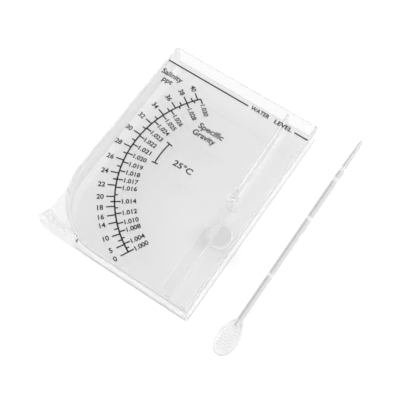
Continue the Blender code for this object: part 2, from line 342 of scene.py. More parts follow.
def clear_polystyrene(
    name,
    tint,
    flow=12.0 * MM,
    wave=0.006 * MM,
    passed=0.977,
    sides=0.6,
    edges=0.9,
    band=HIGHLIGHT_EDGE_BAND,
    painted_flank_shade=None,
):
    """Clear polystyrene, injection moulded. The broad faces come from a polished tool and are very
    slightly wavy from the melt's flow. The sides drag against the tool as the part is pushed out,
    so they're milky. The pale lines round every edge are a painted highlight: faces whose normals
    lie in the band are painted white and made less clear.
    The share of lamp light that each surface passes sets how soft a shadow the moulding throws, and
    None takes the spoon's own shares. Sides and edges say how clear the upright faces are, and the
    ones whose normals lie in the band, which are painted white as a painted highlight. Flank is a
    painted shade: the colour given to faces that look to the left."""
    made, tree = empty_material(name)
    where = add_node(tree, "ShaderNodeTexCoord")
    place = where.outputs["Object"]
    melt = add_node(
        tree,
        "ShaderNodeTexNoise",
        inputs={"Vector": place, "Scale": 1 / flow, "Detail": 1.0, "Roughness": 0.4},
    )
    waviness = add_node(
        tree,
        "ShaderNodeBump",
        inputs={"Height": melt.outputs["Fac"], "Distance": wave, "Strength": 1.0},
    )
    scuffs = add_node(
        tree,
        "ShaderNodeTexNoise",
        inputs={"Vector": place, "Scale": 1 / (2.5 * MM), "Detail": 6.0, "Roughness": 0.65},
    )
    dulling = add_node(
        tree,
        "ShaderNodeMapRange",
        inputs={
            "Value": scuffs.outputs["Fac"],
            "From Min": 0.5,
            "From Max": 0.8,
            "To Min": 0.01,
            "To Max": 0.07,
        },
    )
    facing = add_node(tree, "ShaderNodeSeparateXYZ", inputs={"Vector": where.outputs["Normal"]})
    flatness = add_node(
        tree, "ShaderNodeMath", settings={"operation": "ABSOLUTE"}, inputs={0: facing.outputs["Z"]}
    )
    side = add_node(
        tree,
        "ShaderNodeMapRange",
        inputs={
            "Value": flatness.outputs[0],
            "From Min": 0.3,
            "From Max": 0.7,
            "To Min": 1.0,
            "To Max": 0.0,
        },
    ).outputs["Result"]
    rough = add_node(
        tree,
        "ShaderNodeMix",
        settings={"data_type": "FLOAT"},
        inputs={0: side, 2: dulling.outputs["Result"], 3: SIDE_ROUGHNESS},
    )
    # Painted highlight: faces whose normals lie in the band turn white and less clear
    edge = add_node(
        tree,
        "ShaderNodeMath",
        settings={"operation": "COMPARE"},
        inputs={0: flatness.outputs[0], 1: band[0], 2: band[1]},
    ).outputs[0]
    clearness = add_node(
        tree,
        "ShaderNodeMapRange",
        inputs={"Value": side, "To Min": 1.0, "To Max": sides},
    )
    clearness = add_node(
        tree,
        "ShaderNodeMix",
        settings={"data_type": "FLOAT"},
        inputs={0: edge, 2: clearness.outputs["Result"], 3: edges},
    ).outputs[0]
    tint = add_node(
        tree,
        "ShaderNodeMix",
        settings={"data_type": "RGBA"},
        inputs={0: side, 6: tint, 7: linear(SIDE_COLOUR)},
    ).outputs[2]
    tint = add_node(
        tree,
        "ShaderNodeMix",
        settings={"data_type": "RGBA"},
        inputs={0: edge, 6: tint, 7: linear(EDGE_HIGHLIGHT_COLOUR)},
    ).outputs[2]
    # Painted shade: faces that look to the left take the flank colour, darker than the clear tint.
    if painted_flank_shade is not None:
        left = add_node(
            tree,
            "ShaderNodeMapRange",
            inputs={"Value": facing.outputs["X"], "From Min": -0.2, "From Max": -0.5},
        )
        tint = add_node(
            tree,
            "ShaderNodeMix",
            settings={"data_type": "RGBA"},
            inputs={0: left.outputs["Result"], 6: tint, 7: painted_flank_shade},
        ).outputs[2]
    plastic = add_node(
        tree,
        "ShaderNodeBsdfPrincipled",
        inputs={
            "Base Color": tint,
            "IOR": 1.59,
            "Transmission Weight": clearness,
            "Roughness": rough.outputs[0],
            "Normal": waviness.outputs["Normal"],
        },
    )
    share = share_under_spoon(tree, place) if passed is None else (passed, passed, passed, 1)
    lamp_light = add_node(tree, "ShaderNodeBsdfTransparent", inputs={"Color": share})
    path = add_node(tree, "ShaderNodeLightPath")
    lighting = add_node(
        tree,
        "ShaderNodeMath",
        settings={"operation": "MAXIMUM"},
        inputs={0: path.outputs["Is Shadow Ray"], 1: path.outputs["Is Diffuse Ray"]},
    )
    both = add_node(
        tree,
        "ShaderNodeMixShader",
        inputs={0: lighting.outputs[0], 1: plastic.outputs[0], 2: lamp_light.outputs[0]},
    )
    add_node(tree, "ShaderNodeOutputMaterial", inputs={"Surface": both.outputs[0]})
    return made


def share_under_spoon(tree, place):
    """The share of lamp light that the spoon passes: much at the thin bowl and at the flat pads,
    and less along the ridged stem, which throws the light to both sides."""
    along = add_node(tree, "ShaderNodeSeparateXYZ", inputs={"Vector": place}).outputs["Y"]
    stem = add_node(
        tree,
        "ShaderNodeMapRange",
        inputs={
            "Value": along,
            "From Min": SPOON_LOW.y + BOWL_LENGTH * 0.8,
            "From Max": SPOON_LOW.y + BOWL_LENGTH,
            "To Min": BOWL_SHARE,
            "To Max": STEM_SHARE,
        },
    ).outputs["Result"]
    for distance in PADS_FROM_TIP:
        pad = add_node(
            tree,
            "ShaderNodeMath",
            settings={"operation": "COMPARE"},
            inputs={0: along, 1: SPOON_HIGH.y - distance, 2: PAD_RADIUS * 0.6},
        )
        window = add_node(
            tree,
            "ShaderNodeMath",
            settings={"operation": "MULTIPLY"},
            inputs={0: pad.outputs[0], 1: PAD_SHARE},
        )
        stem = add_node(
            tree,
            "ShaderNodeMath",
            settings={"operation": "MAXIMUM"},
            inputs={0: stem, 1: window.outputs[0]},
        ).outputs[0]
    return stem


def screen_ink(colour):
    """Black vinyl ink, screen printed: satin, with a film that is a little uneven."""
    made, tree = empty_material("screen_printed_black_ink")
    place = add_node(tree, "ShaderNodeTexCoord").outputs["Object"]
    film = add_node(
        tree,
        "ShaderNodeTexNoise",
        inputs={"Vector": place, "Scale": 1 / (0.6 * MM), "Detail": 3.0},
    )
    shade = add_node(
        tree,
        "ShaderNodeMix",
        settings={"data_type": "RGBA"},
        inputs={0: film.outputs["Fac"], 6: colour, 7: tuple(min(c * 2.2, 1) for c in colour)},
    )
    uneven = add_node(
        tree,
        "ShaderNodeBump",
        inputs={"Height": film.outputs["Fac"], "Distance": 0.01 * MM, "Strength": 0.6},
    )
    ink = add_node(
        tree,
        "ShaderNodeBsdfPrincipled",
        inputs={
            "Base Color": shade.outputs[2],
            "Roughness": 0.42,
            "Normal": uneven.outputs["Normal"],
        },
    )
    add_node(tree, "ShaderNodeOutputMaterial", inputs={"Surface": ink.outputs[0]})
    return made


def cast_resin(colour):
    """Light grey filled resin, cast: satin, faintly mottled by its filler, and with painted light
    that makes it paler where the clear bar lies over it."""
    made, tree = empty_material("cast_filled_resin")
    place = add_node(tree, "ShaderNodeTexCoord").outputs["Object"]
    filler = add_node(
        tree,
        "ShaderNodeTexNoise",
        inputs={"Vector": place, "Scale": 1 / (0.7 * MM), "Detail": 5.0, "Roughness": 0.6},
    )
    across = add_node(tree, "ShaderNodeSeparateXYZ", inputs={"Vector": place})
    # Painted light: the part under the clear bar is painted paler than the rest of the disc
    past_bar = add_node(
        tree,
        "ShaderNodeMapRange",
        inputs={
            "Value": across.outputs["X"],
            "From Min": PIVOT.x + ARM_RIGHT - 0.2 * MM,
            "From Max": PIVOT.x + ARM_RIGHT + 0.2 * MM,
        },
    )
    body = add_node(
        tree,
        "ShaderNodeMix",
        settings={"data_type": "RGBA"},
        inputs={
            0: past_bar.outputs["Result"],
            6: tuple(min(c * 1.12, 1) for c in colour),
            7: colour,
        },
    )
    shade = add_node(
        tree,
        "ShaderNodeMix",
        settings={"data_type": "RGBA", "blend_type": "MULTIPLY"},
        inputs={0: 0.12, 6: body.outputs[2], 7: filler.outputs["Color"]},
    )
    grain = add_node(
        tree,
        "ShaderNodeBump",
        inputs={"Height": filler.outputs["Fac"], "Distance": 0.02 * MM, "Strength": 0.5},
    )
    resin = add_node(
        tree,
        "ShaderNodeBsdfPrincipled",
        inputs={
            "Base Color": shade.outputs[2],
            "Roughness": 0.5,
            "Normal": grain.outputs["Normal"],
        },
    )
    add_node(tree, "ShaderNodeOutputMaterial", inputs={"Surface": resin.outputs[0]})
    return made


def studio_floor(colour):
    """Matt white laminate, the plain floor of a light tent."""
    made, tree = empty_material("matt_white_laminate")
    place = add_node(tree, "ShaderNodeTexCoord").outputs["Object"]
    grain = add_node(
        tree,
        "ShaderNodeTexNoise",
        inputs={"Vector": place, "Scale": 1 / (30 * MM), "Detail": 2.0},
    )
    shade = add_node(
        tree,
        "ShaderNodeMix",
        settings={"data_type": "RGBA"},
        inputs={0: grain.outputs["Fac"], 6: tuple(c * 0.985 for c in colour), 7: colour},
    )
    laminate = add_node(
        tree,
        "ShaderNodeBsdfPrincipled",
        inputs={"Base Color": shade.outputs[2], "Roughness": 0.9, "Specular IOR Level": 0.1},
    )
    add_node(tree, "ShaderNodeOutputMaterial", inputs={"Surface": laminate.outputs[0]})
    return made


# Modelling


def deselect():
    if bpy.context.object and bpy.context.object.mode != "OBJECT":
        bpy.ops.object.mode_set(mode="OBJECT")
    bpy.ops.object.select_all(action="DESELECT")


def only(piece):
    """Makes a piece the one that is selected and active."""
    deselect()
    piece.select_set(True)
    bpy.context.view_layer.objects.active = piece
    return piece


def added(name):
    """Names the primitive that was just added and applies its place."""
    piece = bpy.context.object
    piece.name = name
    piece.data.name = name
    bpy.ops.object.transform_apply(location=True, rotation=True, scale=True)
    return piece


def block(name, low, high):
    deselect()
    low, high = Vector(low), Vector(high)
    bpy.ops.mesh.primitive_cube_add(size=1, location=(low + high) / 2, scale=high - low)
    return added(name)


def drum(name, x, y, radius, low, high, sides=64):
    deselect()
    bpy.ops.mesh.primitive_cylinder_add(
        vertices=sides, radius=radius, depth=high - low, location=(x, y, (low + high) / 2)
    )
    return added(name)


def select(piece, kind, test):
    """In edit mode, selects the vertices, edges or faces whose middle passes a test."""
    only(piece)
    bpy.ops.object.mode_set(mode="EDIT")
    bpy.ops.mesh.select_mode(type=kind)
    bpy.ops.mesh.select_all(action="DESELECT")
    shape = bmesh.from_edit_mesh(piece.data)
    items = {"VERT": shape.verts, "EDGE": shape.edges, "FACE": shape.faces}[kind]
    for item in items:
        corners = [item] if kind == "VERT" else item.verts
        item.select = all(test(v.co) for v in corners)
    shape.select_flush_mode()
    bmesh.update_edit_mesh(piece.data)


def leave_edit():
    bpy.ops.object.mode_set(mode="OBJECT")


def move(piece, test, by):
    """Moves the vertices that pass a test."""
    select(piece, "VERT", test)
    bpy.ops.transform.translate(value=by)
    leave_edit()


def apply_modifier(piece, kind, settings):
    only(piece)
    step = piece.modifiers.new(kind.title(), kind)
    for key, value in settings.items():
        setattr(step, key, value)
    bpy.ops.object.modifier_apply(modifier=step.name)
    return piece


def combine(piece, tool, operation):
    """Joins, cuts or trims a piece with a tool, which is used up."""
    apply_modifier(
        piece, "BOOLEAN", {"operation": operation, "solver": "EXACT", "object": tool}
    )
    bpy.data.objects.remove(tool, do_unlink=True)
    return piece


def soften(piece, width, steps=2, angle=38):
    """Rounds a piece's sharp edges and shades it smooth up to them."""
    apply_modifier(
        piece,
        "BEVEL",
        {
            "width": width,
            "segments": steps,
            "limit_method": "ANGLE",
            "angle_limit": math.radians(angle),
        },
    )
    only(piece)
    bpy.ops.object.shade_smooth_by_angle(angle=math.radians(angle))
    apply_modifier(piece, "WEIGHTED_NORMAL", {"keep_sharp": True, "weight": 100})
    return piece


def finish_piece(piece, finish, body, slot, *nodes):
    """Gives a piece its material and its body, and hides the nodes it stands for. The slot is not
    used.
    """
    piece.data.materials.clear()
    piece.data.materials.append(finish)
    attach(piece, body)
    if nodes:
        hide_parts(*nodes)
    return piece


def slope_edge(piece, side, edge, ends, top, width, tilt):
    """Planes a shallow slope along a piece's upper left (side -1) or upper right (side 1) edge,
    between two ends, at the height of the piece's top."""
    drop = width * math.tan(tilt)
    inner = edge - side * width
    wedge = block(
        "wedge",
        (min(inner, edge + side * MM), ends[0], top - drop),
        (max(inner, edge + side * MM), ends[1], top + MM),
    )
    move(wedge, lambda p: abs(p.x - inner) < SMALL and p.z < top, (0, 0, drop))
    fall = math.tan(tilt) * MM
    move(wedge, lambda p: abs(p.x - inner) > SMALL and p.z < top, (0, 0, -fall))
    return combine(piece, wedge, "DIFFERENCE")


def rounded_block(name, low, high, radius):
    """A block whose lower left upright edge is rounded."""
    piece = block(name, low, high)
    select(piece, "EDGE", lambda p: abs(p.x - low[0]) < SMALL and abs(p.y - low[1]) < SMALL)
    bpy.ops.mesh.bevel(offset=radius, segments=CORNER_STEPS, profile=0.5, affect="EDGES")
    leave_edit()
    return piece


def foot_top_at(x):
    """Height of the foot's sloping top, at a distance from the case's left side."""
    share = (x - FOOT_SET_BACK) / (FOOT_LENGTH - FOOT_SET_BACK)
    return FOOT_HEIGHT + (FOOT_END_HEIGHT - FOOT_HEIGHT) * share


def make_foot():
    """The fin under the rounded corner, hollow from both sides down to a web."""
    right = LEFT + FOOT_LENGTH + FOOT_OVERLAP
    foot = block("foot", (LEFT, BOTTOM, 0), (right, BOTTOM + FOOT_HEIGHT, FACE))
    top = BOTTOM + FOOT_HEIGHT
    move(
        foot,
        lambda p: p.x > right - SMALL and p.y > top - SMALL,
        (0, FOOT_END_HEIGHT - FOOT_HEIGHT, 0),
    )
    move(foot, lambda p: p.x < LEFT + SMALL and p.y > top - SMALL, (FOOT_SET_BACK, 0, 0))
    left_top = foot_top_at(FOOT_SET_BACK + FOOT_WALL) - FOOT_WALL
    right_top = foot_top_at(HOLLOW_LENGTH) - FOOT_WALL
    for low, high in ((-MM, (FACE - WEB_THICKNESS) / 2), ((FACE + WEB_THICKNESS) / 2, FACE + MM)):
        corner = (LEFT + FOOT_WALL * 2, BOTTOM + FOOT_WALL, low)
        pocket = block("pocket", corner, (LEFT + HOLLOW_LENGTH, BOTTOM + left_top, high))
        upper = BOTTOM + left_top - SMALL
        middle = LEFT + HOLLOW_MIDDLE
        move(pocket, lambda p: p.x > middle and p.y > upper, (0, right_top - left_top, 0))
        move(pocket, lambda p: p.x < middle and p.y > upper, (FOOT_SET_BACK - FOOT_WALL, 0, 0))
        combine(foot, pocket, "DIFFERENCE")
    return foot


class HYDROMETER_OT_rear_case(bpy.types.Operator):
    """Model the clear tray with its walls, rounded corner, foot, boss and rib"""

    bl_idname = "hydrometer.rear_case"
    bl_label = "Rear case"

    def execute(self, context):
        sizes = context.scene.hydrometer_sizes
        wall = sizes.wall
        rim = PANEL_HIGH.z - wall - SEAM
        tray = rounded_block("rear_case_moulding", (LEFT, BOTTOM, 0), (RIGHT, TOP, rim), CORNER_RADIUS)
        sill_low = (LEFT + (FOOT_LENGTH + HOLLOW_LENGTH) / 2, BOTTOM, 0)
        sill_high = (LEFT + CORNER_RADIUS, BOTTOM + wall * SILL_SHARE, rim)
        sill = block("sill", sill_low, sill_high)
        rise = FOOT_END_HEIGHT - wall - SMALL * 2
        move(sill, lambda p: p.x < sill_low[0] + SMALL and p.y > BOTTOM + SMALL, (0, rise, 0))
        combine(tray, sill, "UNION")
        web_low = (LEFT + WEB_SET_BACK, BOTTOM + FOOT_WALL, (FACE - WEB_THICKNESS) / 2)
        web_high = (LEFT + FOOT_LENGTH, BOTTOM + WEB_TOP, (FACE + WEB_THICKNESS) / 2)
        web = block("corner_web", web_low, web_high)
        combine(tray, web, "UNION")
        combine(tray, make_foot(), "UNION")
        cavity_low = (LEFT + wall, BOTTOM + wall, wall)
        cavity_high = (RIGHT - wall, TOP + wall, rim + wall)
        cavity = rounded_block("cavity", cavity_low, cavity_high, CORNER_RADIUS - wall)
        combine(tray, cavity, "DIFFERENCE")
        boss_top = wall + BOSS_LENGTH
        boss = drum("boss", PIVOT.x, PIVOT.y, BOSS_RADIUS, wall / 2, boss_top)
        combine(tray, boss, "UNION")
        rib_right = DIVIDER_HIGH.x
        rib_low = (rib_right - DIVIDER_THICKNESS, PIVOT.y, wall / 2)
        rib_high = (rib_right, DIVIDER_LOW.y - SEAM, wall + RIB_HEIGHT)
        combine(tray, block("rib", rib_low, rib_high), "UNION")
        bore = drum("bore", PIVOT.x, PIVOT.y, BORE_RADIUS, boss_top - BORE_DEPTH, boss_top + wall)
        combine(tray, bore, "DIFFERENCE")
        soften(tray, sizes.edge_round)
        tint = context.scene.hydrometer_colours.plastic
        finish = clear_polystyrene("clear_moulded_polystyrene", tint)
        finish_piece(tray, finish, "case", "clear_case", "rear_case")
        return {"FINISHED"}


class HYDROMETER_OT_face_panel(bpy.types.Operator):
    """Model the clear front plate with its boss"""

    bl_idname = "hydrometer.face_panel"
    bl_label = "Face panel"

    def execute(self, context):
        sizes = context.scene.hydrometer_sizes
        back = FACE - sizes.wall
        panel = rounded_block("face_plate", (LEFT, BOTTOM, back), (RIGHT, TOP, FACE), CORNER_RADIUS)
        notch_low = (LEFT - sizes.wall, BOTTOM - sizes.wall, back - sizes.wall)
        notch_top = BOTTOM + FOOT_END_HEIGHT + NOTCH_CLEARANCE
        notch_high = (LEFT + FOOT_LENGTH + SEAM * 2, notch_top, FACE + sizes.wall)
        combine(panel, block("notch", notch_low, notch_high), "DIFFERENCE")
        boss_end = back - BOSS_LENGTH
        boss = drum("boss", PIVOT.x, PIVOT.y, BOSS_RADIUS, boss_end, back + sizes.wall / 2)
        combine(panel, boss, "UNION")
        bore = drum("bore", PIVOT.x, PIVOT.y, BORE_RADIUS, boss_end - MM, boss_end + BORE_DEPTH)
        combine(panel, bore, "DIFFERENCE")
        soften(panel, sizes.edge_round)
        finish = bpy.data.materials["clear_moulded_polystyrene"]
        finish_piece(panel, finish, "case", "clear_case", "face_panel")
        return {"FINISHED"}


class HYDROMETER_OT_channel_divider(bpy.types.Operator):
    """Model the leaning strip between the chamber and the filling channel"""

    bl_idname = "hydrometer.channel_divider"
    bl_label = "Channel divider"

    def execute(self, context):
        sizes = context.scene.hydrometer_sizes
        right = DIVIDER_HIGH.x
        lean = DIVIDER_HIGH.x - DIVIDER_THICKNESS - DIVIDER_LOW.x
        low = (right - DIVIDER_THICKNESS, DIVIDER_LOW.y, sizes.wall + SEAM)
        high = (right, DIVIDER_HIGH.y, FACE - sizes.wall - SEAM)
        strip = block("divider_strip", low, high)
        ends = (DIVIDER_LOW.y - MM, DIVIDER_HIGH.y + MM)
        slope_edge(strip, 1, right, ends, high[2], EDGE_SLOPE, DIVIDER_TILT)
        move(strip, lambda p: p.y > DIVIDER_HIGH.y - SMALL, (-lean, 0, 0))
        soften(strip, sizes.arm_round * 0.5, 2, 50)
        tint = context.scene.hydrometer_colours.plastic
        finish = clear_polystyrene("clear_divider_polystyrene", tint, edges=0.4)
        finish_piece(strip, finish, "case", "clear_case", "channel_divider")
        return {"FINISHED"}


class HYDROMETER_OT_pivot_pin(bpy.types.Operator):
    """Model the pin that the arm swings on"""

    bl_idname = "hydrometer.pivot_pin"
    bl_label = "Pivot pin"

    def execute(self, context):
        radius = (PIN_HIGH.x - PIN_LOW.x) / 2
        pin = drum("pivot_pin_moulding", PIVOT.x, PIVOT.y, radius, PIN_LOW.z, PIN_HIGH.z, 40)
        soften(pin, radius * PIN_ROUND_SHARE, 3)
        finish = bpy.data.materials["clear_divider_polystyrene"]
        finish_piece(pin, finish, "case", "clear_pin", "pivot_pin")
        return {"FINISHED"}


class HYDROMETER_OT_swing_arm(bpy.types.Operator):
    """Model the clear arm with its hub, shoulder and weight lobe"""

    bl_idname = "hydrometer.swing_arm"
    bl_label = "Swing arm"

    def execute(self, context):
        sizes = context.scene.hydrometer_sizes
        x, y = PIVOT.x, PIVOT.y
        top = y + SHOULDER_TOP
        bar_low = (x + ARM_LEFT, ARM_LOW.y, BAR_BACK)
        arm = block("swing_arm_moulding", bar_low, (x + ARM_RIGHT, top, BAR_FRONT))
        move(arm, lambda p: p.x < x and p.y > top - SMALL, (0, -SHOULDER_DROP, 0))
        move(arm, lambda p: p.x > x and p.y < ARM_LOW.y + SMALL, (0, TIP_SLANT, 0))
        ends = (ARM_LOW.y - MM, top)
        slope_edge(arm, -1, x + ARM_LEFT, ends, BAR_FRONT, EDGE_SLOPE, ARM_TILT)
        neck_low = (x + NECK_LEFT, y - NECK_DROP, BAR_BACK)
        neck = block("neck", neck_low, (x + ARM_RIGHT, y, BAR_FRONT))
        combine(arm, neck, "UNION")
        combine(arm, drum("hub", x, y, HUB_RADIUS, ARM_LOW.z, ARM_HIGH.z), "UNION")
        middle = (WEIGHT_LOW + WEIGHT_HIGH) / 2
        weight_radius = (WEIGHT_HIGH.x - WEIGHT_LOW.x) / 2
        lobe_back = BAR_BACK - LOBE_DROP
        lobe = drum("lobe", middle.x, middle.y, LOBE_RADIUS, lobe_back, LOBE_FRONT, 96)
        soften(lobe, LOBE_ROUND, 8)
        combine(arm, lobe, "UNION")
        pocket = drum(
            "pocket",
            middle.x,
            middle.y,
            weight_radius + POCKET_CLEARANCE,
            lobe_back - MM,
            lobe_back + POCKET_DEPTH,
            96,
        )
        combine(arm, pocket, "DIFFERENCE")
        combine(arm, drum("bore", x, y, BORE_RADIUS, 0, FACE), "DIFFERENCE")
        soften(arm, sizes.arm_round * 0.5, 2, 50)
        # The arm's planed slope is painted fully white, a painted highlight along its left edge
        finish = clear_polystyrene(
            "clear_arm_polystyrene",
            linear(CLEAR_WHITE),
            passed=0.99,
            sides=0.4,
            edges=0.0,
            band=HIGHLIGHT_SLOPE_BAND,
        )
        finish_piece(arm, finish, "arm", "clear_arm", "swing_arm")
        return {"FINISHED"}


class HYDROMETER_OT_arm_weight(bpy.types.Operator):
    """Model the cast weight in the arm's lobe"""

    bl_idname = "hydrometer.arm_weight"
    bl_label = "Arm weight"

    def execute(self, context):
        middle = (WEIGHT_LOW + WEIGHT_HIGH) / 2
        radius = (WEIGHT_HIGH.x - WEIGHT_LOW.x) / 2
        disc = drum("cast_weight", middle.x, middle.y, radius, WEIGHT_LOW.z, WEIGHT_HIGH.z, 96)
        soften(disc, WEIGHT_ROUND, 3)
        finish = cast_resin(context.scene.hydrometer_colours.weight)
        finish_piece(disc, finish, "arm", "weight", "arm_weight")
        return {"FINISHED"}


def gravity_angle(gravity):
    """The angle of the mark for a specific gravity, in thousandths over one."""
    return BALANCE_ANGLE + math.atan((BALANCE_GRAVITY - gravity) / BALANCE_SPREAD)


def salinity_angle(salinity):
    """The angle of the mark for a salinity, in parts per thousand."""
    return gravity_angle(salinity * SALT_GRAVITY)


def bar(name, start, end, width, film):
    """A printed stroke between two points on the face."""
    start, end = Vector(start), Vector(end)
    along = end - start
    deselect()
    bpy.ops.mesh.primitive_cube_add(size=1, scale=(along.length, width, film))
    piece = added(name)
    piece.location = (*((start + end) / 2), FACE + film / 2)
    piece.rotation_euler = (0, 0, math.atan2(along.y, along.x))
    only(piece)
    bpy.ops.object.transform_apply(location=True, rotation=True, scale=True)
    return piece


def on_face(x, y):
    """A place on the face, from millimetres along and up from the case's lower left corner."""
    return (LEFT + x * MM, BOTTOM + y * MM)


def on_scale(angle, radius):
    """A place on the face, at an angle and a radius about the pivot."""
    return (PIVOT.x + radius * math.cos(angle), PIVOT.y + radius * math.sin(angle))


def arc_stroke(name, radius, first, last, width, film, steps):
    """A printed arc about the pivot, spun from one short edge."""
    deselect()
    start = Vector((*on_scale(first, radius), FACE + film / 2))
    bpy.ops.mesh.primitive_plane_add(size=1)
    piece = added(name)
    piece.scale = (width, film, 1)
    piece.rotation_euler = (math.pi / 2, 0, first)
    piece.location = start
    only(piece)
    bpy.ops.object.transform_apply(location=True, rotation=True, scale=True)
    select(piece, "FACE", lambda p: True)
    bpy.ops.mesh.spin(
        steps=steps, angle=first - last, center=(PIVOT.x, PIVOT.y, 0), axis=(0, 0, 1)
    )
    bpy.ops.mesh.select_all(action="SELECT")
    bpy.ops.mesh.normals_make_consistent(inside=False)
    leave_edit()
    return piece


def lettering(name, words, size, film):
    """Words as a mesh at the origin, their left end at x = 0 and their baseline at y = 0."""
    deselect()
    bpy.ops.object.text_add()
    text = bpy.context.object
    text.data.body = words
    text.data.size = size
    text.data.extrude = film / 2
    text.data.offset = STROKE_WEIGHT
    text.data.resolution_u = 3
    bpy.ops.object.convert(target="MESH")
    piece = bpy.context.object
    piece.name = name
    return piece


def place_words(piece, x, y, turn, film, width=None, centred=False):
    """Lays words on the face at a place and a turn, stretched to a width if one is given."""
    low = min(v.co.x for v in piece.data.vertices)
    high = max(v.co.x for v in piece.data.vertices)
    stretch = width / (high - low) if width else 1.0
    shift = -(low + high) / 2 if centred else -low
    only(piece)
    piece.location = (shift * stretch, 0, 0)
    piece.scale = (stretch, 1, 1)
    bpy.ops.object.transform_apply(location=True, rotation=True, scale=True)
    piece.location = (x, y, FACE + film / 2)
    piece.rotation_euler = (0, 0, turn)
    bpy.ops.object.transform_apply(location=True, rotation=True, scale=True)
    return piece


def join_all(name, pieces):
    deselect()
    for piece in pieces:
        piece.select_set(True)
    bpy.context.view_layer.objects.active = pieces[0]
    bpy.ops.object.join()
    joined = bpy.context.object
    joined.name = name
    return joined


class HYDROMETER_OT_scale_print(bpy.types.Operator):
    """Print the scale's arc, its ticks and its figures"""

    bl_idname = "hydrometer.scale_print"
    bl_label = "Scale print"

    def execute(self, context):
        sizes = context.scene.hydrometer_sizes
        film = sizes.ink
        strokes = [
            arc_stroke(
                "scale_arc",
                SCALE_RADIUS,
                gravity_angle(GRAVITY_MARKS[-1]),
                salinity_angle(SALINITY_MARKS[0]),
                sizes.line_width,
                film,
                96,
            )
        ]
        rows = (
            (GRAVITY_MARKS, gravity_angle, GRAVITY_TICKS[0]),
            (GRAVITY_MINOR, gravity_angle, GRAVITY_TICKS[1]),
            (SALINITY_MARKS, salinity_angle, SALINITY_TICKS[0]),
            (SALINITY_MINOR, salinity_angle, SALINITY_TICKS[1]),
        )
        for values, angle_of, length in rows:
            for value in values:
                angle = angle_of(value)
                start = on_scale(angle, SCALE_RADIUS)
                end = on_scale(angle, SCALE_RADIUS + length)
                strokes.append(bar("tick", start, end, sizes.tick_width, film))
        figures = []
        for value in GRAVITY_MARKS:
            angle = gravity_angle(value)
            words = lettering("figure", f"{1 + value / 1000:.3f}", sizes.figure_size, film)
            self.set_out(words, angle, GRAVITY_RADIUS, film, GRAVITY_WIDTH, False)
            figures.append(words)
        for value in SALINITY_MARKS:
            angle = salinity_angle(value)
            words = lettering("figure", str(value), sizes.figure_size * SALINITY_SIZE, film)
            self.set_out(words, angle, SALINITY_RADIUS, film, None, True)
            figures.append(words)
        ink = screen_ink(context.scene.hydrometer_colours.ink)
        finish_piece(join_all("scale_strokes", strokes), ink, "case", "clear_case")
        finish_piece(join_all("scale_figures", figures), ink, "case", "clear_case")
        return {"FINISHED"}

    def set_out(self, words, angle, radius, film, width, centred):
        """Turns figures to read inwards along their radius, centred on it by height."""
        turn = angle - math.pi
        x, y = on_scale(angle, radius)
        down = max(v.co.y for v in words.data.vertices) / 2
        x += math.sin(turn) * down
        y -= math.cos(turn) * down
        place_words(words, x, y, turn, film, width, centred)


class HYDROMETER_OT_face_lettering(bpy.types.Operator):
    """Print the water line, the scales' names, the temperature and the range bracket"""

    bl_idname = "hydrometer.face_lettering"
    bl_label = "Face lettering"

    def execute(self, context):
        sizes = context.scene.hydrometer_sizes
        film = sizes.ink
        ink = bpy.data.materials["screen_printed_black_ink"]
        marks = []
        for start, end in WATER_LINES:
            ends = (on_face(start, WATER_LEVEL), on_face(end, WATER_LEVEL))
            marks.append(bar("water_line", *ends, sizes.line_width, film))
        width = sizes.tick_width
        marks.append(arc_stroke("range_bracket", BRACKET_RADIUS, *BRACKET_ANGLES, width, film, 24))
        for angle in BRACKET_ANGLES:
            outer = on_scale(angle, BRACKET_RADIUS + BRACKET_END)
            inner = on_scale(angle, BRACKET_RADIUS - BRACKET_END)
            marks.append(bar("bracket_end", outer, inner, width, film))
        finish_piece(join_all("face_strokes", marks), ink, "case", "clear_case")
        pieces = []
        for words, x, y, width, size in FACE_WORDS:
            piece = lettering("words", words, sizes.figure_size * size, film)
            pieces.append(place_words(piece, *on_face(x, y), 0.0, film, width * MM))
        finish_piece(join_all("face_words", pieces), ink, "case", "clear_case")
        return {"FINISHED"}


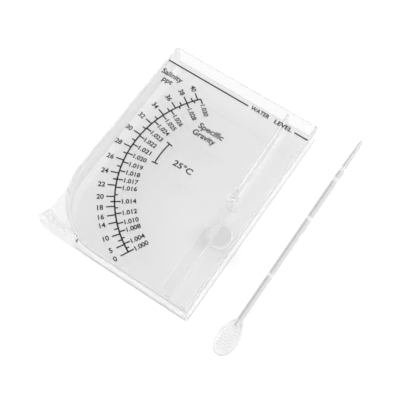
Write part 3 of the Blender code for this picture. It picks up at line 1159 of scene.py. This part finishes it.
class HYDROMETER_OT_stirring_spoon(bpy.types.Operator):
    """Model the stirring spoon with its ridged stem and ribbed bowl"""

    bl_idname = "hydrometer.stirring_spoon"
    bl_label = "Stirring spoon"

    def execute(self, context):
        spoon = drum("stirring_spoon_moulding", 0, 0, BOWL_HALF_WIDTH, 0, BOWL_THICKNESS, 96)
        select(spoon, "VERT", lambda p: True)
        bpy.ops.transform.resize(value=(1, BOWL_LENGTH / BOWL_HALF_WIDTH / 2, 1))
        leave_edit()
        egg = {
            "deform_method": "TAPER",
            "deform_axis": "Y",
            "lock_z": True,
            "factor": -2 * BOWL_TAPER,
        }
        apply_modifier(spoon, "SIMPLE_DEFORM", egg)
        move(spoon, lambda p: True, (0, BOWL_LENGTH / 2, 0))
        select(spoon, "FACE", lambda p: p.z > BOWL_THICKNESS - SMALL)
        bpy.ops.mesh.inset(thickness=BOWL_RIM, depth=0)
        bpy.ops.mesh.inset(thickness=BOWL_SLOPE, depth=-BOWL_DISH)
        leave_edit()
        half = BOWL_HALF_WIDTH * RIB_REACH
        for i in range(BOWL_RIBS):
            along = BOWL_LENGTH / 2 + (i - (BOWL_RIBS - 1) / 2) * RIB_PITCH
            rib = block(
                "rib",
                (-half, along - RIB_WIDTH / 2, BOWL_THICKNESS - BOWL_DISH - BOWL_SLOPE),
                (half, along + RIB_WIDTH / 2, BOWL_THICKNESS - RIB_SUNK),
            )
            combine(spoon, rib, "UNION")
        combine(spoon, self.stem(), "UNION")
        for distance in PADS_FROM_TIP:
            along = SPOON_LENGTH - distance
            pad = drum("pad", 0, along, PAD_RADIUS, 0, STEM_HEIGHT * PAD_HEIGHT, 24)
            combine(spoon, pad, "UNION")
        soften(spoon, STEM_ROUND, 2, 30)
        spoon.location = (SPOON_MIDDLE, SPOON_LOW.y, 0)
        only(spoon)
        bpy.ops.object.transform_apply(location=True, rotation=True, scale=True)
        finish = clear_polystyrene(
            "clear_spoon_polystyrene",
            linear(SPOON_CLEAR),
            flow=6 * MM,
            wave=0.01 * MM,
            passed=None,
            sides=0.8,
            edges=1.0,
            # Painted shade on the left flank of the stem's ridge.
            painted_flank_shade=linear(SPOON_FLANK_SHADE),
        )
        finish_piece(spoon, finish, "spoon", "clear_spoon", "stirring_spoon")
        return {"FINISHED"}

    def stem(self):
        """The stem: a block with a ridge along its top and a narrow tip."""
        half = STEM_WIDTH / 2
        shoulder = SPOON_LENGTH - TIP_TAPER
        stem = block("stem", (-half, BOWL_LENGTH * STEM_START, 0), (half, shoulder, STEM_EDGE))
        select(stem, "FACE", lambda p: p.y > shoulder - SMALL)
        bpy.ops.mesh.extrude_region_move(TRANSFORM_OT_translate={"value": (0, TIP_TAPER, 0)})
        narrowing = (TIP_WIDTH / STEM_WIDTH, 1, TIP_THINNING)
        bpy.ops.transform.resize(value=narrowing, center_override=(0, 0, 0))
        leave_edit()
        select(stem, "FACE", lambda p: p.z > STEM_EDGE * 0.7)
        bpy.ops.mesh.subdivide(number_cuts=1)
        leave_edit()
        select(stem, "VERT", lambda p: abs(p.x) < SMALL and p.z > STEM_EDGE * 0.7)
        bpy.ops.transform.translate(value=(0, 0, STEM_HEIGHT - STEM_EDGE))
        leave_edit()
        return stem


class HYDROMETER_OT_stage(bpy.types.Operator):
    """Set the floor, the soft lights and the camera"""

    bl_idname = "hydrometer.stage"
    bl_label = "Stage"

    def execute(self, context):
        deselect()
        bpy.ops.mesh.primitive_plane_add(size=FLOOR_SIZE, location=(0, 0, -FLOOR_DROP))
        floor = added("floor")
        floor.data.materials.append(studio_floor(context.scene.hydrometer_colours.floor))
        self.light_tent()
        self.softboxes()
        self.camera(context)
        context.scene.view_settings.view_transform = "Standard"
        context.scene.cycles.max_bounces = LIGHT_BOUNCES
        context.scene.cycles.transmission_bounces = LIGHT_BOUNCES
        context.scene.cycles.transparent_max_bounces = LIGHT_BOUNCES
        return {"FINISHED"}

    def light_tent(self):
        """An even sky with one dark patch, the black card that the face plate mirrors."""
        tent = bpy.data.worlds.new("light_tent")
        tent.use_nodes = True
        tree = tent.node_tree
        tree.nodes.clear()
        way = add_node(tree, "ShaderNodeTexCoord").outputs["Generated"]
        towards = add_node(
            tree,
            "ShaderNodeVectorMath",
            settings={"operation": "DOT_PRODUCT"},
            inputs={0: way, 1: CARD_WAY},
        )
        card = add_node(
            tree,
            "ShaderNodeMapRange",
            inputs={
                "Value": towards.outputs["Value"],
                "From Min": math.cos(CARD_EDGE),
                "From Max": math.cos(CARD_CORE),
            },
        )
        parts = add_node(tree, "ShaderNodeSeparateXYZ", inputs={"Vector": way})
        height = add_node(
            tree,
            "ShaderNodeMapRange",
            inputs={
                "Value": parts.outputs["Z"],
                "From Min": 0.1,
                "From Max": 0.9,
                "To Min": SKY_LOW,
                "To Max": SKY_HIGH,
            },
        )
        glow = add_node(
            tree,
            "ShaderNodeMix",
            settings={"data_type": "FLOAT"},
            inputs={0: card.outputs["Result"], 2: height.outputs["Result"], 3: CARD_GLOW},
        )
        sky = add_node(
            tree,
            "ShaderNodeBackground",
            inputs={"Color": (1, 1, 1, 1), "Strength": glow.outputs[0]},
        )
        add_node(tree, "ShaderNodeOutputWorld", inputs={"Surface": sky.outputs[0]})
        bpy.context.scene.world = tent

    def softboxes(self):
        """Softboxes round the table, low enough that the flat faces don't mirror them."""
        for name, turn, rise, width, height, power in SOFTBOXES:
            light = bpy.data.lights.new(name, "AREA")
            light.shape = "RECTANGLE"
            light.size = width
            light.size_y = height
            light.energy = power
            lamp = bpy.data.objects.new(name, light)
            bpy.context.scene.collection.objects.link(lamp)
            a, e = math.radians(turn), math.radians(rise)
            way = Vector((math.cos(a) * math.cos(e), math.sin(a) * math.cos(e), math.sin(e)))
            lamp.location = way * LAMP_DISTANCE
            lamp.rotation_euler = (-way).to_track_quat("-Z", "Y").to_euler()

    def camera(self, context):
        """Looks down at the case from its lower right."""
        lens = bpy.data.cameras.new("camera")
        lens.sensor_width = SENSOR_WIDTH
        lens.lens = LENS_LENGTH
        lens.clip_start = 0.01
        camera = bpy.data.objects.new("camera", lens)
        context.scene.collection.objects.link(camera)
        level = Matrix.Rotation(CAMERA_TURN, 4, "Z")
        dip = Matrix.Rotation(math.pi / 2 - CAMERA_RISE, 4, "X")
        camera.matrix_world = (
            Matrix.Translation(CAMERA_AIM)
            @ level
            @ dip
            @ Matrix.Translation((0, 0, CAMERA_DISTANCE))
            @ Matrix.Rotation(CAMERA_ROLL, 4, "Z")
        )
        context.scene.camera = camera


class HYDROMETER_PT_panel(bpy.types.Panel):
    """Lists the pieces in the order they are made"""

    bl_idname = "HYDROMETER_PT_panel"
    bl_label = "Hydrometer"
    bl_space_type = "VIEW_3D"
    bl_region_type = "UI"
    bl_category = "Hydrometer"

    def draw(self, context):
        for operator in OPERATORS:
            self.layout.operator(operator.bl_idname)
        for name in HydrometerSizes.__annotations__:
            self.layout.prop(context.scene.hydrometer_sizes, name)
        for name in HydrometerColours.__annotations__:
            self.layout.prop(context.scene.hydrometer_colours, name)


OPERATORS = (
    HYDROMETER_OT_rear_case,
    HYDROMETER_OT_face_panel,
    HYDROMETER_OT_channel_divider,
    HYDROMETER_OT_pivot_pin,
    HYDROMETER_OT_swing_arm,
    HYDROMETER_OT_arm_weight,
    HYDROMETER_OT_scale_print,
    HYDROMETER_OT_face_lettering,
    HYDROMETER_OT_stirring_spoon,
    HYDROMETER_OT_stage,
)
CLASSES = (HydrometerSizes, HydrometerColours, *OPERATORS, HYDROMETER_PT_panel)


def register():
    for each in CLASSES:
        bpy.utils.register_class(each)
    bpy.types.Scene.hydrometer_sizes = bpy.props.PointerProperty(type=HydrometerSizes)
    bpy.types.Scene.hydrometer_colours = bpy.props.PointerProperty(type=HydrometerColours)


def unregister():
    del bpy.types.Scene.hydrometer_colours
    del bpy.types.Scene.hydrometer_sizes
    for each in reversed(CLASSES):
        bpy.utils.unregister_class(each)


def main():
    register()
    bpy.ops.hydrometer.rear_case()
    bpy.ops.hydrometer.face_panel()
    bpy.ops.hydrometer.channel_divider()
    bpy.ops.hydrometer.pivot_pin()
    bpy.ops.hydrometer.swing_arm()
    bpy.ops.hydrometer.arm_weight()
    bpy.ops.hydrometer.scale_print()
    bpy.ops.hydrometer.face_lettering()
    bpy.ops.hydrometer.stirring_spoon()
    bpy.ops.hydrometer.stage()


if __name__ == "__main__":
    main()
